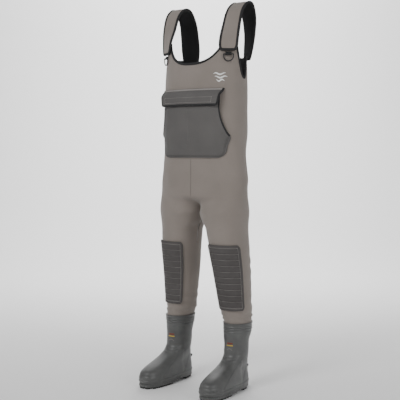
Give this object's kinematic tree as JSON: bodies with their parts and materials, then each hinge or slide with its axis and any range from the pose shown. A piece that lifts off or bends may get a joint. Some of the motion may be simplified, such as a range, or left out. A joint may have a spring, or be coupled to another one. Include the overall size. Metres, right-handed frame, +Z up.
{
  "type": "chest waders",
  "caption": "Chest waders in padded foam cloth with bonded rubber boots, shoulder straps, hand-warmer pocket with flap, D-rings and ribbed knee pads",
  "frame": {"origin": "middle of the footprint on the ground", "axes": "+Z up along the wearer, -Y the wearer's front, +X the wearer's left"},
  "size_m": [0.405, 0.3421, 1.5514],
  "materials": {
    "foam_cloth": "smooth knitted nylon over foam rubber",
    "pocket_cloth": "smooth-skin foam rubber, faint sheen",
    "knee_cloth": "moulded ribs, matte",
    "boot_rubber": "satin rubber",
    "sole_rubber": "matte rubber",
    "insole_felt": "felt",
    "ring_plastic": "satin",
    "webbing": "woven",
    "hook_and_loop": "hook-and-loop pile",
    "seam_tape": "glued tape",
    "binding": "stitched elastic binding"
  },
  "bodies": {
    "waders": {"left_front_body": "foam_cloth", "right_front_body": "foam_cloth", "left_back_body": "foam_cloth", "right_back_body": "foam_cloth", "left_leg_front": "foam_cloth", "right_leg_front": "foam_cloth", "left_leg_back": "foam_cloth", "right_leg_back": "foam_cloth", "centre_front_tape": "seam_tape", "centre_back_tape": "seam_tape", "crotch_tape": "seam_tape", "front_neck_binding": "binding", "back_neck_binding": "binding", "left_armhole_binding": "binding", "right_armhole_binding": "binding", "left_loop_patch": "hook_and_loop", "right_loop_patch": "hook_and_loop", "left_ring_webbing": "webbing", "right_ring_webbing": "webbing", "pocket_panel": "pocket_cloth", "left_hand_binding": "binding", "right_hand_binding": "binding", "pocket_loop_strip": "hook_and_loop", "left_knee_pad": "knee_cloth", "right_knee_pad": "knee_cloth", "left_boot_upper": "boot_rubber", "right_boot_upper": "boot_rubber", "left_outsole": "sole_rubber", "right_outsole": "sole_rubber", "left_insole": "insole_felt", "right_insole": "insole_felt", "left_foxing_band": "boot_rubber", "right_foxing_band": "boot_rubber", "left_heel_spur": "sole_rubber", "right_heel_spur": "sole_rubber", "left_cuff_tape": "seam_tape", "right_cuff_tape": "seam_tape"},
    "left_shoulder": {"left_strap": "foam_cloth", "left_strap_binding": "binding", "left_hook_patch": "hook_and_loop"},
    "right_shoulder": {"right_strap": "foam_cloth", "right_strap_binding": "binding", "right_hook_patch": "hook_and_loop"},
    "left_ring": {"left_d_ring": "ring_plastic"},
    "right_ring": {"right_d_ring": "ring_plastic"},
    "flap": {"pocket_flap": "pocket_cloth", "flap_binding": "binding", "flap_hook_strip": "hook_and_loop"}
  },
  "joints": [
    {"name": "left_ring_swing", "type": "hinge", "parent": "waders", "child": "left_ring", "pos_m": [0.15436, -0.01127, 1.338], "axis": [-0.829, -0.5592, 0], "range_deg": [0, 100]},
    {"name": "right_ring_swing", "type": "hinge", "parent": "waders", "child": "right_ring", "pos_m": [-0.15436, -0.01127, 1.338], "axis": [-0.829, 0.5592, 0], "range_deg": [0, 100]},
    {"name": "left_strap_swing", "type": "hinge", "parent": "waders", "child": "left_shoulder", "pos_m": [0.139, 0.141, 1.326], "axis": [-0.829, 0.5592, 0], "range_deg": [0, 100]},
    {"name": "right_strap_swing", "type": "hinge", "parent": "waders", "child": "right_shoulder", "pos_m": [-0.139, 0.141, 1.326], "axis": [-0.829, -0.5592, 0], "range_deg": [0, 100]},
    {"name": "flap_lift", "type": "hinge", "parent": "waders", "child": "flap", "pos_m": [0, -0.06034, 1.206], "axis": [-1, 0, 0], "range_deg": [0, 110]}
  ]
}
